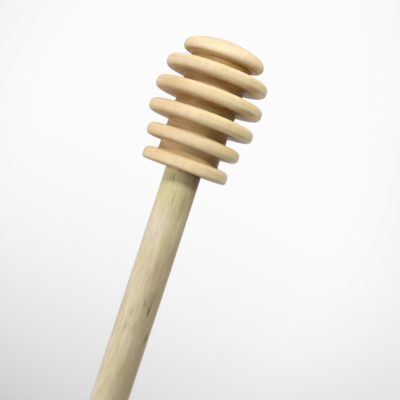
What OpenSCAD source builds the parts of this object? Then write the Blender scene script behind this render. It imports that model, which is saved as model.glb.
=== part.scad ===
// Honey dipper: a turned head of six discs, bored and glued onto a dowel handle.
// Millimetres. The handle's axis is Z, its free end stands on z = 0 and the head is at the top.

/* [Head] */
// Diameter of the domed top disc
top_disc_d = 21.5; // [17:0.1:30]
// Diameter of the second disc from the top
second_disc_d = 26.9; // [17:0.1:32]
// Diameter of the third disc from the top, the widest
third_disc_d = 28.4; // [17:0.1:34]
// Diameter of the fourth disc from the top
fourth_disc_d = 27.8; // [17:0.1:34]
// Diameter of the fifth disc from the top
fifth_disc_d = 24.7; // [17:0.1:32]
// Diameter of the bottom disc
bottom_disc_d = 22.6; // [17:0.1:30]
// Thickness of a disc
disc_t = 3.2; // [2.4:0.1:5]
// Width of the groove between two discs
groove_w = 2.8; // [2:0.1:5]
// Diameter of the core at the bottom of the grooves
core_d = 16; // [13:0.1:16.5]
// Radius of the concave corners at the bottom of a groove
root_round = 0.9; // [0.2:0.1:1.5]
// Radius of a disc's upper rim
rim_round = 1.35; // [0.5:0.05:2]
// Radius of a disc's lower rim, on all but the bottom disc
low_rim_round = 1.15; // [0.5:0.05:2]
// Radius of the bottom disc's lower rim
foot_round = 0.7; // [0.2:0.05:1.2]
// Height of the top disc at its middle, from its underside to its crown
crown_h = 5; // [4:0.05:8]
// How far the top disc's underside lies below the even spacing of the others
top_disc_drop = 0.4; // [0:0.05:0.8]
// Radius of the top disc's upper shoulder
crown_shoulder = 2.3; // [0.8:0.1:2.6]

/* [Handle] */
// Diameter of the dowel
handle_d = 9.6; // [8.8:0.1:12]
// Length of the dowel from its free end to its shoulder under the head
handle_l = 125; // [60:1:250]
// Chamfer round the free end
end_chamfer = 0.8; // [0.2:0.1:2]
// Diameter of the tenon that enters the head
tenon_d = 8; // [5:0.1:8.4]
// Length of the tenon
tenon_l = 20; // [8:0.5:24]
// Chamfer at the tenon's end
tenon_chamfer = 0.6; // [0.2:0.1:1.5]

/* [Joint] */
// Thickness of the glue film round the tenon and at its thinnest under the head
glue_t = 0.1; // [0.05:0.05:0.3]
// How far the glue lies back from the handle's edge, where it was wiped off
glue_inset = 0.2; // [0:0.05:0.6]
// How much deeper the bore is than the tenon
bore_spare = 1; // [0.2:0.1:3]
// Point angle of the drill that made the bore, in degrees
drill_point = 118; // [90:1:150]
// Angle in degrees between the bore and the axis that the head was turned on
lean = 1.65; // [0:0.05:3]
// Height above the head's underside at which these two axes cross
lean_h = 6; // [0:0.5:12]

/* [Hidden] */
$fn = 96;
disc_d = [bottom_disc_d, fifth_disc_d, fourth_disc_d, third_disc_d, second_disc_d, top_disc_d];
last = len(disc_d) - 1;
pitch = disc_t + groove_w;
rim_r = min(rim_round, disc_t / 2 - 0.05);
low_rim_r = min(low_rim_round, disc_t / 2 - 0.05);
foot_r = min(foot_round, disc_t / 2 - 0.05);
root_r = min(root_round, (groove_w - top_disc_drop) / 2 - 0.05);
shoulder_r = min(crown_shoulder, crown_h - low_rim_r - 0.5);
core_r = core_d / 2;
handle_r = handle_d / 2;
tenon_r = tenon_d / 2;
bore_r = tenon_r + glue_t;
bore_h = tenon_l + bore_spare;
point_h = bore_r / tan(drill_point / 2);
// The tilted underside comes nearest to the shoulder at the handle's edge, a glue film away
cross_z = handle_l + glue_t + lean_h / cos(lean) + handle_r * tan(lean);
// Small overlap that lets one cut run cleanly past a face
past = 1;

// Height of a disc's underside above the head's underside, counted from the bottom disc
function disc_z(i) = i * pitch - (i == last ? top_disc_drop : 0);

// Half section of a plain disc, with rims of radius low at the underside and high at the top
module disc_section(r, low, high) {
    square([r - low, low]);
    translate([r - low, low]) circle(low);
    translate([0, low]) square([r, disc_t - low - high]);
    translate([0, disc_t - high]) square([r - high, high]);
    translate([r - high, disc_t - high]) circle(high);
}

// Half section of the domed top disc: a wide arc over its middle runs smoothly into a rounded shoulder
module crown_section(r, low, shoulder, h) {
    inset = r - shoulder;
    rise = h - low;
    dome_r = (inset * inset + rise * rise - shoulder * shoulder) / (2 * (rise - shoulder));
    reach = inset * dome_r / (dome_r - shoulder);
    square([r - low, low]);
    translate([r - low, low]) circle(low);
    intersection() {
        translate([inset, low]) circle(shoulder);
        translate([0, low]) square([r + past, shoulder + past]);
    }
    intersection() {
        translate([0, h - dome_r]) circle(dome_r);
        translate([0, low]) square([reach, rise + past]);
    }
}

// Concave corner between the core and a disc's face at height z, on the face's upper (1) or lower (-1) side
module root_section(z, side) {
    difference() {
        translate([core_r - past, z + (side > 0 ? -past : -root_r)]) square(root_r + past);
        translate([core_r + root_r, z + side * root_r]) circle(root_r);
    }
}

module head_section() {
    square([core_r, disc_z(last) + disc_t / 2]);
    for (i = [0 : last - 1]) {
        translate([0, disc_z(i)]) disc_section(disc_d[i] / 2, i == 0 ? foot_r : low_rim_r, rim_r);
        root_section(disc_z(i) + disc_t, 1);
        root_section(disc_z(i + 1), -1);
    }
    translate([0, disc_z(last)]) crown_section(top_disc_d / 2, low_rim_r, shoulder_r, crown_h);
}

module handle_section() {
    tenon_top = handle_l + tenon_l;
    polygon([
        [0, 0],
        [handle_r - end_chamfer, 0],
        [handle_r, end_chamfer],
        [handle_r, handle_l],
        [tenon_r, handle_l],
        [tenon_r, tenon_top - tenon_chamfer],
        [tenon_r - tenon_chamfer, tenon_top],
        [0, tenon_top]
    ]);
}

// Puts what is drawn in the head's own frame, underside on z = 0, where the bore meets the handle
module head_frame() {
    translate([0, 0, cross_z]) rotate([0, lean, 0]) translate([0, 0, -lean_h]) children();
}

module bore() {
    translate([0, 0, handle_l - past]) cylinder(h = bore_h + past, r = bore_r);
    translate([0, 0, handle_l + bore_h]) cylinder(h = point_h, r1 = bore_r, r2 = 0);
}

// Turned wooden head with the blind hole for the handle
module head() {
    color("burlywood") difference() {
        head_frame() rotate_extrude() head_section();
        bore();
    }
}

// Wooden dowel with a shouldered tenon
module handle() {
    color("wheat") rotate_extrude() handle_section();
}

// Cured glue: the film round the tenon and the thin wedge between its shoulder and the head
module glue() {
    color("goldenrod") difference() {
        union() {
            translate([0, 0, handle_l]) cylinder(h = tenon_l - tenon_chamfer, r = bore_r);
            difference() {
                translate([0, 0, handle_l]) cylinder(h = handle_r, r = handle_r - glue_inset);
                head_frame() cylinder(h = handle_d, r = top_disc_d);
            }
        }
        translate([0, 0, handle_l - past]) cylinder(h = tenon_l + past, r = tenon_r);
    }
}

head();
glue();
handle();
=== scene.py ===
import math
import bpy
import numpy as np
from mathutils import Matrix


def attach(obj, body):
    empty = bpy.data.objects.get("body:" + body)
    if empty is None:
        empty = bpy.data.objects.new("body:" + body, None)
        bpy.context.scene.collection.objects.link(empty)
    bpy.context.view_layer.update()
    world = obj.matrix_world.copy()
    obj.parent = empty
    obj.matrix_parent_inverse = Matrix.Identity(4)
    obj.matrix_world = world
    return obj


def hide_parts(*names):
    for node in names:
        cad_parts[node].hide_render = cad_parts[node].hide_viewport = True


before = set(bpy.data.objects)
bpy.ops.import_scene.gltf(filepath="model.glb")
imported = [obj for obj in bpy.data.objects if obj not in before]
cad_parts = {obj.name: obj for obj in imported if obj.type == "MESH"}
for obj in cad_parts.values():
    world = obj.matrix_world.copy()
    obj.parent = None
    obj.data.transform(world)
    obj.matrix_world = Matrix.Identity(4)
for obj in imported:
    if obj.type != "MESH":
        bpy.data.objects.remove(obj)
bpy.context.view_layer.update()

# The head: one block of fine-grained, pinkish cream wood, turned on a lathe into six round-rimmed
# discs with five grooves and a domed top, then bored from below a little out of line with its own
# axis, which is why it leans on the handle.
disc_radii = [0.01130, 0.01235, 0.01390, 0.01420, 0.01345, 0.01075]
disc_thickness = 0.0032
groove_width = 0.0028
core_radius = 0.0080
root_round = 0.0009
rim_round = 0.00135
low_rim_round = 0.00115
foot_round = 0.0007
crown_height = 0.0050
crown_shoulder = 0.0023
top_disc_drop = 0.0004
head_lean = math.radians(1.65)
lean_height = 0.0060
handle_length = 0.1250
handle_radius = 0.00480
tenon_radius = 0.0040
tenon_length = 0.0200
glue_film = 0.0001
bore_radius = tenon_radius + glue_film
bore_depth = tenon_length + 0.0010
drill_half_angle = math.radians(59)
cross_height = (handle_length + glue_film + lean_height / math.cos(head_lean)
                + handle_radius * math.tan(head_lean))
around_head = 240
outline_step = 0.00026
slow_unevenness = 0.000025
quick_unevenness = 0.00001
crown_sanding = 0.000003
underside_from = 1.08
uneven_from = 1.2
pink = (0.885, 0.690, 0.430, 1)
straw = (0.840, 0.690, 0.390, 1)
orange = (0.780, 0.510, 0.250, 1)
brown = (0.400, 0.228, 0.060, 1)
cream = (0.940, 0.790, 0.540, 1)
tan = (0.640, 0.500, 0.310, 1)
honey = (0.820, 0.655, 0.310, 1)
# Pale colour of painted light reflected onto the undersides
bounce_white = (0.940, 0.870, 0.780, 1)


def arc(across, up, radius, start, stop, steps=24):
    """Points (r, z) at radius from the centre (across, up), from angle start to stop in degrees."""
    a = np.radians(np.linspace(start, stop, steps))
    return np.stack([across + radius * np.cos(a), up + radius * np.sin(a)], axis=1)


def disc_outline(base, radius, low, high):
    """Rim of a plain disc: a quarter circle of radius low, a flat, then a quarter circle of radius high."""
    top = base + disc_thickness
    return np.concatenate([arc(radius - low, base + low, low, -90, 0),
                           arc(radius - high, top - high, high, 0, 90)])


def groove_outline(low, high):
    """Bottom of a groove: two concave quarter circles that join the core to the discs' faces."""
    across = core_radius + root_round
    return np.concatenate([arc(across, low + root_round, root_round, -90, -180),
                           arc(across, high - root_round, root_round, 180, 90)])


def crown_outline(base, radius):
    """Top disc: the low rim, a rounded shoulder, then a wide dome.

    The shoulder's circle touches the dome's circle from inside, so one runs into the other with no corner.
    """
    inset = radius - crown_shoulder
    rise = crown_height - low_rim_round
    dome = (inset ** 2 + rise ** 2 - crown_shoulder ** 2) / (2 * (rise - crown_shoulder))
    touch = math.degrees(math.atan2(dome - rise, inset))
    return np.concatenate([arc(radius - low_rim_round, base + low_rim_round, low_rim_round, -90, 0),
                           arc(inset, base + low_rim_round, crown_shoulder, 0, touch),
                           arc(0, base + crown_height - dome, dome, touch, 90, 60)])


def head_outline():
    """The head's half section from the middle of its underside up to the crown, as evenly spaced points."""
    pitch = disc_thickness + groove_width
    bases = [i * pitch for i in range(len(disc_radii))]
    bases[-1] -= top_disc_drop
    parts = [np.array([[0.0, 0.0]])]
    for i in range(len(bases) - 1):
        low = foot_round if i == 0 else low_rim_round
        parts.append(disc_outline(bases[i], disc_radii[i], low, rim_round))
        parts.append(groove_outline(bases[i] + disc_thickness, bases[i + 1]))
    parts.append(crown_outline(bases[-1], disc_radii[-1]))
    points = np.concatenate(parts)
    run = np.concatenate([[0], np.cumsum(np.hypot(*np.diff(points, axis=0).T))])
    at = np.linspace(0, run[-1], int(run[-1] / outline_step))
    return np.stack([np.interp(at, run, points[:, 0]), np.interp(at, run, points[:, 1])], axis=1)


def wavelets(rng, along, angle, count, turns, length):
    """Smooth relief, nearly all of it between -1 and 1.

    It is a sum of waves, each with a whole number of turns round the piece and a random length along it.
    """
    total = np.zeros(np.broadcast(along, angle).shape)
    for _ in range(count):
        k = rng.integers(0, turns + 1)
        w = 2 * math.pi / (length * rng.uniform(0.7, 1.6))
        total += np.cos(k * angle + w * along + rng.uniform(0, 2 * math.pi))
    return total / (1.6 * math.sqrt(count))


def closed_mesh(name, first, rings, last):
    """Mesh of rings of points, one row after another along the outline, with a fan to a pole at each end."""
    rows, columns = rings.shape[:2]
    index = np.arange(rows * columns).reshape(rows, columns) + 1
    beside = np.roll(index, -1, axis=1)
    quads = np.stack([index[:-1], beside[:-1], beside[1:], index[1:]], axis=-1).reshape(-1, 4)
    end = rows * columns + 1
    low = np.stack([beside[0], index[0], np.zeros(columns, int)], axis=-1)
    high = np.stack([index[-1], beside[-1], np.full(columns, end)], axis=-1)
    points = np.concatenate([first[None], rings.reshape(-1, 3), last[None]])
    mesh = bpy.data.meshes.new(name)
    mesh.from_pydata(points.tolist(), [], quads.tolist() + low.tolist() + high.tolist())
    mesh.shade_smooth()
    piece = bpy.data.objects.new(name, mesh)
    bpy.context.scene.collection.objects.link(piece)
    return piece


def head_points():
    """Turns the outline round the head's axis, presses its hand-made unevenness in along the normal,
    tilts it, and puts the bore before it. Gives the bore's tip, the rings and the crown's middle.

    Counted in bore radii, the underside's rings start at underside_from and the unevenness at uneven_from.
    """
    rng = np.random.default_rng(7)
    outline = head_outline()
    angle = np.linspace(0, 2 * math.pi, around_head, endpoint=False)
    along = np.arange(len(outline))[:, None] * outline_step
    slope = np.gradient(outline, axis=0)
    slope /= np.linalg.norm(slope, axis=1, keepdims=True)
    outward = np.stack([slope[:, 1], -slope[:, 0]], axis=1)
    depth = slow_unevenness * (wavelets(rng, along, angle, 14, 3, 0.020) - 1)
    depth += quick_unevenness * (wavelets(rng, along, angle, 22, 12, 0.004) - 1)
    depth *= np.clip(outline[:, :1] / bore_radius - uneven_from, 0, 1)
    depth[len(outline) // 2:] -= crown_sanding
    r = outline[:, :1] + depth * outward[:, :1]
    z = outline[:, 1:] + depth * outward[:, 1:]
    keep = outline[:, 0] > bore_radius * underside_from
    keep[len(outline) // 2:] = True
    r, z = r[keep][:-1], z[keep][:-1]
    turned = np.stack([r * np.cos(angle), r * np.sin(angle), z + 0 * angle], axis=-1)
    cosine, sine = math.cos(head_lean), math.sin(head_lean)
    x, up = turned[..., 0], turned[..., 2] - lean_height
    placed = np.stack([x * cosine + up * sine, turned[..., 1],
                       cross_height - x * sine + up * cosine], axis=-1)
    top = outline[-1, 1] - crown_sanding - lean_height
    crown = np.array([top * sine, 0, cross_height + top * cosine])
    circle = np.stack([np.cos(angle), np.sin(angle)], axis=-1) * bore_radius
    mouth = cross_height - lean_height / cosine - circle[:, 0] * math.tan(head_lean)
    depths = np.linspace(1, 0, 24)[:, None]
    wall_top = handle_length + bore_depth
    wall = mouth + depths * (wall_top - mouth)
    bore = np.stack([circle[:, 0] + 0 * wall, circle[:, 1] + 0 * wall, wall], axis=-1)
    tip = np.array([0, 0, wall_top + bore_radius / math.tan(drill_half_angle)])
    return tip, np.concatenate([bore, placed]), crown


tip, rings, crown = head_points()
head = closed_mesh("turned_head", tip, rings, crown)


def add(tree, kind, values=None, **settings):
    """Adds a shader node, sets its options, and links or sets each named or numbered input."""
    made = tree.nodes.new("ShaderNode" + kind)
    for key, value in settings.items():
        setattr(made, key, value)
    for key, value in (values or {}).items():
        if isinstance(value, bpy.types.NodeSocket):
            tree.links.new(value, made.inputs[key])
        else:
            made.inputs[key].default_value = value
    return made


def math_node(tree, operation, a, b=0.0, c=0.0):
    """One step of arithmetic on numbers or sockets."""
    return add(tree, "Math", {0: a, 1: b, 2: c}, operation=operation).outputs[0]


def spread(tree, value, low, high, to_low=0.0, to_high=1.0):
    """Maps value smoothly from low..high to to_low..to_high, and holds it at both ends."""
    made = add(tree, "MapRange", {0: value, 1: low, 2: high, 3: to_low, 4: to_high},
               interpolation_type="SMOOTHSTEP")
    return made.outputs[0]


def tint(tree, factor, under, over):
    """Mixes one colour over another by a factor."""
    made = add(tree, "Mix", {0: factor, 6: under, 7: over}, data_type="RGBA", clamp_factor=True)
    return made.outputs[2]


def laid_on(tree, colour, mask, strength, paint):
    """Lays a paint over a colour where the mask is, at a strength."""
    return tint(tree, math_node(tree, "MULTIPLY", mask, strength), colour, paint)


def stretched(tree, where, scale, size=(1, 1, 1), turn=(0, 0, 0), detail=2.0, rough=0.5):
    """Noise from 0 to 1 on coordinates multiplied by size; a small third number gives long streaks."""
    place = add(tree, "Mapping", {"Vector": where, "Scale": size, "Rotation": turn})
    noise = add(tree, "TexNoise", {"Vector": place.outputs[0], "Scale": scale, "Detail": detail,
                                   "Roughness": rough})
    return noise.outputs[0]


def apart(tree, vector):
    """The three numbers of a vector."""
    return add(tree, "SeparateXYZ", {0: vector}).outputs[:3]


def growth_rings(tree, where, pith, spacing, sway):
    """Growth rings, 0 to 1: distance from the pith, swayed by noise, folded into waves of one spacing."""
    place = add(tree, "Mapping", {"Vector": where, "Location": pith, "Scale": (1, 1, 0.06)})
    away = add(tree, "VectorMath", {0: place.outputs[0]}, operation="LENGTH").outputs[1]
    swayed = math_node(tree, "MULTIPLY_ADD", stretched(tree, where, 60, (1, 1, 0.2)), sway, away)
    turns = math_node(tree, "MULTIPLY", swayed, 2 * math.pi / spacing)
    return spread(tree, math_node(tree, "SINE", turns), -1.0, 1.0)


def blot(tree, where, centre, size, turn=0.0, tilt=0.0):
    """A soft ellipsoid with half axes size, 1 in its middle, 0 outside, leaned by tilt, turned round Z."""
    place = add(tree, "Mapping", {"Vector": where, "Location": centre, "Scale": size,
                                  "Rotation": (-tilt, 0, turn)}, vector_type="TEXTURE")
    away = add(tree, "VectorMath", {0: place.outputs[0]}, operation="LENGTH").outputs[1]
    return spread(tree, away, 0.15, 1.0, 1.0, 0.0)


def new_material(name):
    """A material with an empty node tree, and that tree."""
    material = bpy.data.materials.new(name)
    material.use_nodes = True
    material.node_tree.nodes.clear()
    return material, material.node_tree


def sanded_finish(tree, colour, roughness, height, strength, distance):
    """Bare sanded wood: little gloss, a faint sheen along its edges, and a bump from the grain's height."""
    bump = add(tree, "Bump", {"Strength": strength, "Distance": distance, "Height": height})
    shader = add(tree, "BsdfPrincipled", {"Base Color": colour, "Roughness": roughness,
                                          "Normal": bump.outputs[0], "Specular IOR Level": 0.30,
                                          "Sheen Weight": 0.15, "Sheen Roughness": 0.40})
    add(tree, "OutputMaterial", {0: shader.outputs[0]})


def head_tints(tree, grain, facing):
    """Broad tints: pink and straw, honey on the right, orange on the left with painted shade in tan over the
    upper left, more cream at the top and more orange at the bottom, and faint rings.
    """
    up = apart(tree, grain)[2]
    broad = stretched(tree, grain, 75, (1, 1, 0.6), detail=1.5)
    colour = tint(tree, spread(tree, broad, 0.44, 0.62), pink, straw)
    honey_side = blot(tree, grain, (0.0085, -0.0090, 0.0080), (0.0060, 0.0062, 0.0230))
    colour = laid_on(tree, colour, honey_side, 0.75, honey)
    blush = blot(tree, grain, (-0.0102, -0.0102, 0.0130), (0.0068, 0.0068, 0.0042))
    colour = laid_on(tree, colour, blush, 0.75, orange)
    warm = stretched(tree, grain, 48, (1, 1, 0.8), turn=(0.3, 0.2, 1.0), detail=1.0)
    colour = tint(tree, spread(tree, warm, 0.56, 0.72, 0, 0.35), colour, orange)
    colour = tint(tree, spread(tree, up, 0.0215, 0.0245, 0, 0.20), colour, cream)
    colour = tint(tree, spread(tree, up, -0.0060, 0.0060, 0.15, 0), colour, orange)
    # Painted shade: darker tan over the upper left
    upper_left_shade = blot(tree, grain, (-0.0040, -0.0105, 0.0195), (0.0125, 0.0085, 0.0140))
    colour = laid_on(tree, colour, upper_left_shade, 0.33, tan)
    end_grain = spread(tree, math_node(tree, "ABSOLUTE", facing), 0.55, 1.0)
    ring_strength = spread(tree, end_grain, 0, 1, 0.08, 0.22)
    rings_here = growth_rings(tree, grain, (0.028, 0.017, 0), 0.0024, 0.010)
    return laid_on(tree, colour, rings_here, ring_strength, orange)


def head_marks(tree, colour, grain, fibre, tool):
    """Fine marks over the tints: brown fibres and flecks, tan tool lines, cream and tan mottling."""
    colour = tint(tree, spread(tree, fibre, 0.50, 0.80, 0, 0.12), colour, brown)
    fleck = stretched(tree, grain, 1100, (1, 1, 0.22), turn=(0, 0, 0.5), detail=1.0)
    colour = tint(tree, spread(tree, fleck, 0.71, 0.80, 0, 0.22), colour, brown)
    colour = tint(tree, spread(tree, tool, 0.40, 0.66, 0, 0.16), colour, tan)
    mottle = stretched(tree, grain, 620, (1, 1, 0.6), detail=2.5)
    colour = tint(tree, spread(tree, mottle, 0.50, 0.68, 0, 0.23), colour, cream)
    return tint(tree, spread(tree, mottle, 0.32, 0.48, 0.23, 0), colour, tan)


def groove_scorch_and_shade(tree, grain, away):
    """How strongly the grooves are browned, part by scorch and part by painted shade: most at the core,
    growing upwards, with painted shade on the top groove's lower part, more towards the sides, a paler foot
    on the left, little on the head's underside and none on the domed top, broken into lines and patches.
    """
    x, _, up = apart(tree, grain)
    deep = spread(tree, away, 0.0084, 0.0116, 1.0, 0.0)
    deep = math_node(tree, "MULTIPLY", deep, spread(tree, up, -0.0056, -0.0040, 0.15, 1.0))
    deep = math_node(tree, "MULTIPLY", deep, spread(tree, up, 0.0232, 0.0241, 1.0, 0.0))
    strength = spread(tree, up, 0.0030, 0.0100, 0.32, 0.68)
    # Painted shade on the top groove's lower part
    low_lip_shade = math_node(tree, "MULTIPLY", spread(tree, up, 0.0190, 0.0200, 0.0, 0.42),
                        spread(tree, up, 0.0220, 0.0236, 1.0, -0.20))
    strength = math_node(tree, "ADD", strength, low_lip_shade)
    beside = math_node(tree, "ABSOLUTE", x)
    strength = math_node(tree, "ADD", strength, spread(tree, beside, 0.0035, 0.0068, 0.0, 0.20))
    lines = stretched(tree, grain, 330, (0.30, 0.30, 4.2), detail=2.0)
    patches = stretched(tree, grain, 330, (0.80, 0.80, 2.2), turn=(0.02, 0.03, 0), detail=2.0)
    seared_and_shaded = math_node(tree, "MULTIPLY", deep, strength)
    seared_and_shaded = math_node(tree, "MULTIPLY", seared_and_shaded, spread(tree, lines, 0.3, 0.7, 0.75, 1.25))
    seared_and_shaded = math_node(tree, "MULTIPLY", seared_and_shaded, spread(tree, patches, 0.3, 0.7, 0.80, 1.20))

    # Height above the underside of the next disc down, for a paler foot to the grooves on the left: painted
    # light where their lower lip is lit
    in_groove = math_node(tree, "FLOORED_MODULO", up, disc_thickness + groove_width)
    on_left = spread(tree, x, 0.0010, 0.0080, 1.0, 0.3)
    on_left = math_node(tree, "MULTIPLY", on_left, spread(tree, up, 0.0010, 0.0030, 0.0, 1.0))
    on_left = math_node(tree, "MULTIPLY", on_left, spread(tree, up, 0.0190, 0.0200, 1.0, 0.0))
    painted_lit_foot = math_node(tree, "MULTIPLY", on_left, spread(tree, in_groove, 0.0040, 0.0053, -0.55, 0.20))
    return math_node(tree, "MULTIPLY", seared_and_shaded, math_node(tree, "ADD", painted_lit_foot, 1.0))


def head_undersides(tree, colour, grain, facing):
    """Flat undersides, where the normal points down: painted shade, browner on the left and under the whole
    head, and painted reflected light, paler under the other discs on the right and towards the back.
    """
    x, y, up = apart(tree, grain)
    # Painted shade: flat undersides browner on the left and under the whole head
    shade = math_node(tree, "MAXIMUM", spread(tree, x, -0.0080, -0.0010, 0.25, 0.0),
                      spread(tree, up, -0.0056, -0.0046, 0.50, 0.0))
    shade = math_node(tree, "MULTIPLY", shade, spread(tree, facing, -0.99, -0.86, 1.0, 0.0))
    colour = tint(tree, shade, colour, brown)
    # Painted reflected light: undersides paler on the right, towards the back
    painted_bounce_light = math_node(tree, "MULTIPLY", spread(tree, x, 0.0040, 0.0070, 0.0, 0.80),
                         spread(tree, y, -0.0040, 0.0010, 0.0, 1.0))
    painted_bounce_light = math_node(tree, "MULTIPLY", painted_bounce_light, spread(tree, facing, -0.98, -0.80, 1.0, 0.0))
    painted_bounce_light = math_node(tree, "MULTIPLY", painted_bounce_light, spread(tree, up, -0.0050, -0.0020, 0.0, 1.0))
    return tint(tree, painted_bounce_light, colour, bounce_white)


# Darker places in the grooves and under the rims, part scorch and part painted shade: centre, half size and
# strength of each, in the head's own coordinates
scorch_and_shade_places = [((-0.0068, -0.0050, 0.0160), (0.0050, 0.0050, 0.0075), 0.55),
            ((0.0070, -0.0042, 0.0010), (0.0050, 0.0050, 0.0075), 0.55),
            ((0.0050, -0.0066, 0.0048), (0.0050, 0.0040, 0.0030), 0.50),
            ((-0.0004, -0.0084, -0.0024), (0.0080, 0.0036, 0.0008), 0.50),
            ((0.0025, -0.0077, 0.0220), (0.0080, 0.0034, 0.0011), 0.70),
            ((-0.0030, -0.0080, 0.0056), (0.0070, 0.0050, 0.0010), 0.35),
            ((-0.0010, -0.0088, 0.0117), (0.0080, 0.0050, 0.0010), 0.35),
            ((-0.0030, -0.0088, 0.0177), (0.0080, 0.0050, 0.0010), 0.35),
            ((-0.0004, -0.0084, -0.0004), (0.0080, 0.0040, 0.0007), 0.40),
            ((0.0100, -0.0090, 0.0121), (0.0055, 0.0055, 0.0012), 0.50),
            ((0.0100, -0.0080, 0.0181), (0.0055, 0.0050, 0.0012), 0.50)]


def head_wood():
    """Pinkish cream wood with its grain along the head's axis, grooves browned part by scorch and part by
    painted shade, and painted shade and light in places.

    Its coordinates start where the head's axis crosses the handle's, 6 mm above the head's underside.
    """
    material, tree = new_material("turned_head_wood")
    coords = add(tree, "TexCoord")
    facing = apart(tree, coords.outputs["Normal"])[2]
    centred = add(tree, "VectorMath", {0: coords.outputs["Object"], 1: (0, 0, cross_height)},
                  operation="SUBTRACT")
    grain = add(tree, "Mapping", {"Vector": centred.outputs[0], "Rotation": (0, -head_lean, 0)}).outputs[0]
    x, y, up = apart(tree, grain)
    out = add(tree, "CombineXYZ", {0: x, 1: y}).outputs[0]
    away = add(tree, "VectorMath", {0: out}, operation="LENGTH").outputs[1]
    fibre = stretched(tree, grain, 2300, (1, 1, 0.035), detail=2.5, rough=0.6)
    rim_place = add(tree, "CombineXYZ", {0: away, 2: up}).outputs[0]
    tool = stretched(tree, rim_place, 2600, detail=1.5)
    colour = head_tints(tree, grain, facing)
    colour = head_marks(tree, colour, grain, fibre, tool)
    # Grooves browned: part scorch, part painted shade
    colour = tint(tree, groove_scorch_and_shade(tree, grain, away), colour, brown)
    colour = head_undersides(tree, colour, grain, facing)
    # Painted shade, part scorch, at each darker place
    for centre, size, strength in scorch_and_shade_places:
        colour = laid_on(tree, colour, blot(tree, grain, centre, size), strength, brown)
    # Painted highlight: a paler line along the front of the top disc's rim
    crown_rim_highlight = blot(tree, grain, (-0.0010, -0.0102, 0.0244), (0.0120, 0.0060, 0.0015))
    colour = laid_on(tree, colour, crown_rim_highlight, 0.85, cream)
    height = math_node(tree, "MULTIPLY_ADD", tool, 0.6, math_node(tree, "MULTIPLY", fibre, 0.8))
    sanded_finish(tree, colour, spread(tree, fibre, 0.2, 0.8, 0.52, 0.68), height, 0.35, 0.00006)
    return material


head.data.materials.append(head_wood())
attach(head, "root")
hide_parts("head")

# The glue: the cured film between tenon and bore. Only its edge shows, a thin dull amber line
# where the handle's shoulder meets the head.
amber = (0.50, 0.34, 0.14, 1)
pale_amber = (0.62, 0.46, 0.22, 1)


def cured_glue():
    """Dull amber, slightly cloudy film."""
    material, tree = new_material("cured_wood_glue")
    here = add(tree, "TexCoord").outputs["Object"]
    cloud = stretched(tree, here, 900, detail=2.0)
    colour = tint(tree, spread(tree, cloud, 0.3, 0.7), amber, pale_amber)
    bump = add(tree, "Bump", {"Strength": 0.3, "Distance": 0.00005, "Height": cloud})
    shader = add(tree, "BsdfPrincipled", {"Base Color": colour, "Roughness": 0.45,
                                          "Normal": bump.outputs[0]})
    add(tree, "OutputMaterial", {0: shader.outputs[0]})
    return material


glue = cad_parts["glue"]
glue.data.materials.clear()
glue.data.materials.append(cured_glue())

# The handle: a length of straight-grained dowel, paler and greener than the head, sanded smooth,
# with a chamfered free end, a few torn flecks in the grain, and a shouldered tenon glued in the bore.
end_chamfer = 0.0008
tenon_chamfer = 0.0006
around_handle = 144
slow_waviness = 0.00002
quick_waviness = 0.000006
neck_sanding = 0.00008
neck_length = 0.028
end_fan = 0.0006
tenon_fan = 0.0008
beige = (0.780, 0.660, 0.430, 1)
pale_beige = (0.840, 0.745, 0.500, 1)
rose = (0.880, 0.745, 0.610, 1)
olive = (0.700, 0.620, 0.315, 1)
dull = (0.490, 0.385, 0.225, 1)
dark = (0.175, 0.125, 0.032, 1)
# Brown of the painted shadow under the head
under_head_shadow = (0.240, 0.150, 0.090, 1)


def handle_points():
    """Turns the dowel's outline round Z. The wall gets the soft unevenness of a sanded dowel, and its neck
    is sanded a touch thinner towards the head. Gives the end's middle, the rings and the tenon's middle.

    The rings leave a small fan open in the middle of either end, for closed_mesh to close.
    """
    rng = np.random.default_rng(11)
    angle = np.linspace(0, 2 * math.pi, around_handle, endpoint=False)
    flat = handle_radius - end_chamfer
    face = np.stack([np.linspace(end_fan, flat, 8), np.zeros(8)], axis=1)
    edge = np.stack([np.linspace(flat, handle_radius, 5), np.linspace(0, end_chamfer, 5)], axis=1)[1:]
    heights = np.linspace(end_chamfer, handle_length, 380)[1:]
    wall = np.stack([np.full(len(heights), handle_radius), heights], axis=1)
    shoulder = np.stack([np.linspace(handle_radius, tenon_radius, 4)[1:], np.full(3, handle_length)], axis=1)
    tenon_top = handle_length + tenon_length
    rises = np.linspace(handle_length, tenon_top - tenon_chamfer, 30)[1:]
    tenon = np.stack([np.full(len(rises), tenon_radius), rises], axis=1)
    chamfer = np.array([[tenon_radius - tenon_chamfer, tenon_top], [tenon_fan, tenon_top]])
    outline = np.concatenate([face, edge, wall, shoulder, tenon, chamfer])
    r, z = outline[:, :1], outline[:, 1:]
    wall_rows = (np.abs(r - handle_radius) < 1e-7) & (z < handle_length + 1e-7)
    uneven = slow_waviness * (wavelets(rng, z, angle, 12, 3, 0.050) - 1)
    uneven += quick_waviness * (wavelets(rng, z, angle, 18, 9, 0.008) - 1)
    near = np.clip((z - handle_length + neck_length) / neck_length, 0, 1)
    r = r + wall_rows * (uneven - neck_sanding * near * near * (3 - 2 * near))
    rings = np.stack([r * np.cos(angle), r * np.sin(angle), z + 0 * angle], axis=-1)
    return np.array([0, 0, 0.0]), rings, np.array([0, 0, tenon_top])


handle = closed_mesh("dowel_handle", *handle_points())


def on_wall(angle, height):
    """The point of the dowel's wall at an angle from the front, in degrees to the right, and a height."""
    turn = math.radians(angle - 90)
    return (handle_radius * math.cos(turn), handle_radius * math.sin(turn), height)


def torn_fleck(tree, where, angle, height, tilt, half_width, half_length):
    """A short streak of torn grain on the wall, 0 to 1; tilt leans its top to the right, in degrees."""
    size = (4 * half_width, half_width, half_length)
    return blot(tree, where, on_wall(angle, height), size, math.radians(angle - 90), math.radians(tilt))


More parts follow.
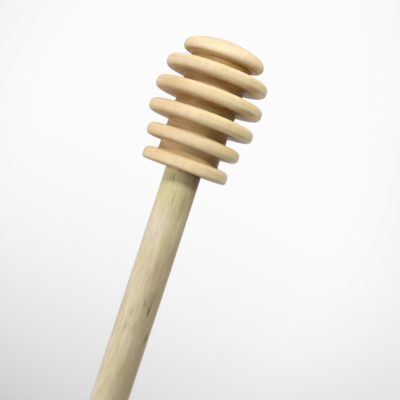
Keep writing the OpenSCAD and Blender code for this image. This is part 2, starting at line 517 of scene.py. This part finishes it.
def dowel_tints(tree, here):
    """Broad tints: beige, rosy on the left, paler and rosier along the left edge as painted light, olive on
    the right and at the neck, duller over the right half lower down and at the right edge as painted shade,
    and a painted shadow just under the head.
    """
    x, _, up = apart(tree, here)
    blush = stretched(tree, here, 150, (1, 1, 0.40), turn=(0.2, 0.1, 2.0), detail=1.5)
    colour = tint(tree, spread(tree, blush, 0.40, 0.62, 0, 0.45), beige, rose)
    rosy_side = blot(tree, here, on_wall(-30, 0.1105), (0.0050, 0.0040, 0.0100), math.radians(-120))
    colour = laid_on(tree, colour, rosy_side, 0.55, rose)
    # Painted light: paler and rosier along the left edge
    colour = tint(tree, spread(tree, x, -0.0046, -0.0028, 0.60, 0.0), colour, rose)
    olive_side = blot(tree, here, on_wall(24, 0.1095), (0.0040, 0.0030, 0.0150), math.radians(-66))
    colour = laid_on(tree, colour, olive_side, 0.75, olive)
    greening = spread(tree, math_node(tree, "MULTIPLY_ADD", blush, 0.006, up), 0.1130, 0.1225, 0.0, 0.75)
    colour = tint(tree, greening, colour, olive)
    mottle = stretched(tree, here, 380, (1, 1, 0.35), detail=3.0)
    colour = tint(tree, spread(tree, mottle, 0.50, 0.70, 0, 0.30), colour, olive)
    # Painted shade: duller over the right half lower down, and along the right edge
    right_shade_reach = math_node(tree, "SUBTRACT", x, spread(tree, up, 0.100, 0.1165, 0.0, 0.0050))
    right_shade_reach = math_node(tree, "MULTIPLY_ADD", mottle, 0.0060, right_shade_reach)
    colour = tint(tree, spread(tree, right_shade_reach, 0.0005, 0.0058, 0.0, 0.85), colour, dull)
    colour = tint(tree, spread(tree, x, 0.0038, 0.0048, 0.0, 0.38), colour, dull)
    # Painted shadow just under the head, on the right and at the front
    right_shadow_under_head = blot(tree, here, on_wall(62, 0.1248), (0.0045, 0.0042, 0.0046))
    colour = laid_on(tree, colour, right_shadow_under_head, 0.90, under_head_shadow)
    front_shadow_under_head = blot(tree, here, on_wall(18, 0.1254), (0.0036, 0.0030, 0.0027))
    return laid_on(tree, colour, front_shadow_under_head, 0.50, under_head_shadow)


def dowel_marks(tree, colour, here, streak):
    """Fine marks over the tints: faint rings, dull and pale streaks, dapples and short dark pores."""
    rings_here = growth_rings(tree, here, (-0.020, 0.031, 0), 0.0019, 0.012)
    colour = laid_on(tree, colour, rings_here, 0.08, dull)
    colour = tint(tree, spread(tree, streak, 0.44, 0.70, 0, 0.26), colour, dull)
    pale = stretched(tree, here, 1100, (1, 1, 0.16), turn=(0, 0, 0.7), detail=2.0)
    colour = tint(tree, spread(tree, pale, 0.52, 0.76, 0, 0.30), colour, pale_beige)
    dapple = stretched(tree, here, 800, (1, 1, 0.40), turn=(0, 0, 1.9), detail=2.0)
    colour = tint(tree, spread(tree, dapple, 0.48, 0.70, 0, 0.22), colour, dull)
    pore = stretched(tree, here, 2400, (1, 1, 0.11), detail=1.0)
    return tint(tree, spread(tree, pore, 0.66, 0.80, 0, 0.30), colour, dark)


# Torn flecks: angle from the front, height, tilt, half width, half length and depth of each
flecks = [(13.0, 0.0907, -6, 0.00034, 0.0023, 0.50), (21.0, 0.0903, -40, 0.00026, 0.0022, 0.45),
          (35.0, 0.0896, -2, 0.00055, 0.0030, 0.65), (33.6, 0.0889, -4, 0.00044, 0.0019, 0.95),
          (36.0, 0.0924, 1, 0.00150, 0.0034, 0.28), (-17.0, 0.0876, 0, 0.00055, 0.0018, 0.24),
          (-22.0, 0.0838, 0, 0.00045, 0.0026, 0.33), (60.0, 0.0822, 0, 0.00120, 0.0022, 0.60),
          (-32.0, 0.1226, 2, 0.00034, 0.0016, 0.40), (-22.0, 0.1229, -3, 0.00050, 0.0018, 0.50),
          (47.0, 0.1206, -62, 0.00024, 0.0022, 0.25), (44.0, 0.1195, -64, 0.00024, 0.0018, 0.25),
          (33.0, 0.1165, -3, 0.00120, 0.0050, 0.22), (14.0, 0.0985, 5, 0.00080, 0.0030, 0.14),
          (160.0, 0.1040, 3, 0.00036, 0.0026, 0.50), (-125.0, 0.0700, -2, 0.00034, 0.0024, 0.45),
          (110.0, 0.0480, 1, 0.00040, 0.0028, 0.50), (-60.0, 0.0330, -4, 0.00032, 0.0023, 0.45)]


def handle_wood():
    """Pale dowel wood: beige with olive and rosy stretches, fine streaks, short pores and torn flecks."""
    material, tree = new_material("dowel_wood")
    here = add(tree, "TexCoord").outputs["Object"]
    streak = stretched(tree, here, 1300, (1, 1, 0.11), detail=3.0, rough=0.6)
    colour = dowel_tints(tree, here)
    colour = dowel_marks(tree, colour, here, streak)
    torn = 0.0
    for angle, place, tilt, half_width, half_length, depth in flecks:
        fleck = torn_fleck(tree, here, angle, place, tilt, half_width, half_length)
        torn = math_node(tree, "MAXIMUM", torn, math_node(tree, "MULTIPLY", fleck, depth))
    colour = tint(tree, torn, colour, dark)
    height = math_node(tree, "MULTIPLY_ADD", streak, 0.8, math_node(tree, "MULTIPLY", torn, -1.5))
    sanded_finish(tree, colour, spread(tree, streak, 0.2, 0.8, 0.55, 0.7), height, 0.4, 0.00007)
    return material


handle.data.materials.append(handle_wood())
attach(handle, "root")
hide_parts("handle")

# The floor: a plain pale disc that fades out, so that it holds the object's shadow and runs into the
# backdrop with no edge. It is open under the handle's end, which light from below can then reach.
floor_height = -0.00003
floor_hole = 0.0039
floor_radius = 0.160
floor_solid = 0.060
around_floor = 64


def floor_points():
    """Rings of a flat disc a hair below the handle's end, from the hole in its middle to its edge."""
    angle = np.linspace(0, 2 * math.pi, around_floor, endpoint=False)
    r = np.linspace(floor_hole, floor_radius, 12)[:, None]
    rings = np.stack([r * np.cos(angle), r * np.sin(angle), floor_height + 0 * r * angle], axis=-1)
    index = np.arange(rings.shape[0] * around_floor).reshape(-1, around_floor)
    beside = np.roll(index, -1, axis=1)
    quads = np.stack([index[:-1], index[1:], beside[1:], beside[:-1]], axis=-1).reshape(-1, 4)
    return rings.reshape(-1, 3).tolist(), quads.tolist()


points, faces = floor_points()
floor_mesh = bpy.data.meshes.new("floor")
floor_mesh.from_pydata(points, [], faces)
floor = bpy.data.objects.new("floor", floor_mesh)
bpy.context.scene.collection.objects.link(floor)


def floor_paint():
    """Matt off-white that turns see-through towards the disc's edge, and is not seen from below."""
    material, tree = new_material("floor_paint")
    here = add(tree, "TexCoord").outputs["Object"]
    away = add(tree, "VectorMath", {0: here}, operation="LENGTH").outputs[1]
    from_below = math_node(tree, "MULTIPLY", add(tree, "NewGeometry").outputs["Backfacing"],
                           add(tree, "LightPath").outputs["Is Camera Ray"])
    clear = math_node(tree, "MAXIMUM", spread(tree, away, floor_solid, floor_radius), from_below)
    paint = add(tree, "BsdfDiffuse", {"Color": (0.86, 0.86, 0.86, 1)})
    nothing = add(tree, "BsdfTransparent")
    mixed = add(tree, "MixShader", {0: clear, 1: paint.outputs[0], 2: nothing.outputs[0]})
    add(tree, "OutputMaterial", {0: mixed.outputs[0]})
    return material


floor.data.materials.append(floor_paint())

# The light: a small lamp close in front and above, a broad one on the left a little below level, one
# high on the right, two weaker ones behind that catch the edges, and pale light from below. The
# camera sees a near-white backdrop that greys towards the ground and a little towards the sides.


def backdrop(tree, direction):
    """Near-white grey with a faint fall to the sides, less the square of how far a direction dips below
    a line that slants down to the left.
    """
    x, _, up = apart(tree, direction)
    dip = math_node(tree, "SUBTRACT", 0.048, up)
    dip = math_node(tree, "MULTIPLY_ADD", x, -0.109, dip)
    dip = math_node(tree, "MINIMUM", math_node(tree, "MAXIMUM", dip, 0.0), 0.35)
    fall = math_node(tree, "MULTIPLY", math_node(tree, "MULTIPLY", dip, dip), 2.75)
    centred = add(tree, "Mapping", {"Vector": direction, "Location": (0.134, 0, -0.050),
                                    "Scale": (5.62, 0, 3.56)})
    aside = add(tree, "VectorMath", {0: centred.outputs[0]}, operation="LENGTH").outputs[1]
    edge = spread(tree, aside, 1.0, 2.0, 0.9675, 0.840)
    return math_node(tree, "SUBTRACT", edge, fall)


def surround(level, above, below):
    """World light: the same all round, plus more from above and below. What is seen or mirrored is the
    backdrop instead.
    """
    world = bpy.data.worlds.new("surround")
    world.use_nodes = True
    bpy.context.scene.world = world
    tree = world.node_tree
    tree.nodes.clear()
    direction = add(tree, "TexCoord").outputs["Generated"]
    up = apart(tree, direction)[2]
    seen = add(tree, "Background", {0: backdrop(tree, direction), 1: 1.0})
    strength = spread(tree, up, 0.3, 0.7, level, level + above)
    strength = math_node(tree, "ADD", strength, spread(tree, up, -0.7, -0.3, below, 0.0))
    lit = add(tree, "Background", {0: (1.0, 1.0, 1.0, 1), 1: strength})
    path = add(tree, "LightPath")
    direct = math_node(tree, "MAXIMUM", path.outputs["Is Camera Ray"], path.outputs["Is Transmission Ray"])
    direct = math_node(tree, "MAXIMUM", direct, path.outputs["Is Glossy Ray"])
    mixed = add(tree, "MixShader", {0: direct, 1: lit.outputs[0], 2: seen.outputs[0]})
    add(tree, "OutputWorld", {0: mixed.outputs[0]})


def lamp(name, azimuth, elevation, distance, size, power, target):
    """Square area lamp that faces the target from an azimuth and elevation in degrees; 0 is in front, 90
    on the right.
    """
    a, e = math.radians(azimuth), math.radians(elevation)
    back = np.array([math.sin(a) * math.cos(e), -math.cos(a) * math.cos(e), math.sin(e)])
    light = bpy.data.lights.new(name, "AREA")
    light.size = size
    light.energy = power
    made = bpy.data.objects.new(name, light)
    bpy.context.scene.collection.objects.link(made)
    made.location = target + back * distance
    aside = np.cross([0, 0, 1.0], back)
    aside /= np.linalg.norm(aside)
    made.rotation_mode = "QUATERNION"
    turn = np.stack([aside, np.cross(back, aside), back], axis=1)
    made.rotation_quaternion = Matrix(turn.tolist()).to_quaternion()


head_middle = np.array([0.0, 0.0, 0.142])
surround(0.10, 0.01, 0.35)
lamp("key", 0, 25, 0.22, 0.040, 0.284, head_middle)
lamp("side", -65, -12, 0.60, 0.40, 1.65, head_middle)
lamp("top", 55, 60, 0.30, 0.11, 0.42, head_middle)
lamp("left_edge", -110, 35, 0.50, 0.20, 0.50, head_middle)
lamp("right_edge", 152, -20, 0.40, 0.15, 0.30, head_middle)

# The camera: in front, level with the neck, rolled so that the handle runs from the bottom left up to
# the head at the top right. Its place is counted in pixels at the handle's distance, to the right of
# the handle's axis and below the middle of the head's underside.
image_side = 400
focal_pixels = 840.0
scale_at_handle = 0.0002549
underside_rise = 0.00024
pixels_right = 24.4
pixels_below = 22.2
roll = math.radians(18.09)
camera_data = bpy.data.cameras.new("camera")
camera_data.sensor_width = 36.0
camera_data.lens = focal_pixels / image_side * camera_data.sensor_width
camera_data.clip_start = 0.01
camera = bpy.data.objects.new("camera", camera_data)
bpy.context.scene.collection.objects.link(camera)
camera.location = (pixels_right * scale_at_handle, -focal_pixels * scale_at_handle,
                   handle_length + underside_rise - pixels_below * scale_at_handle)
camera.rotation_euler = (math.pi / 2, -roll, 0)
bpy.context.scene.camera = camera
bpy.context.scene.view_settings.view_transform = "Standard"
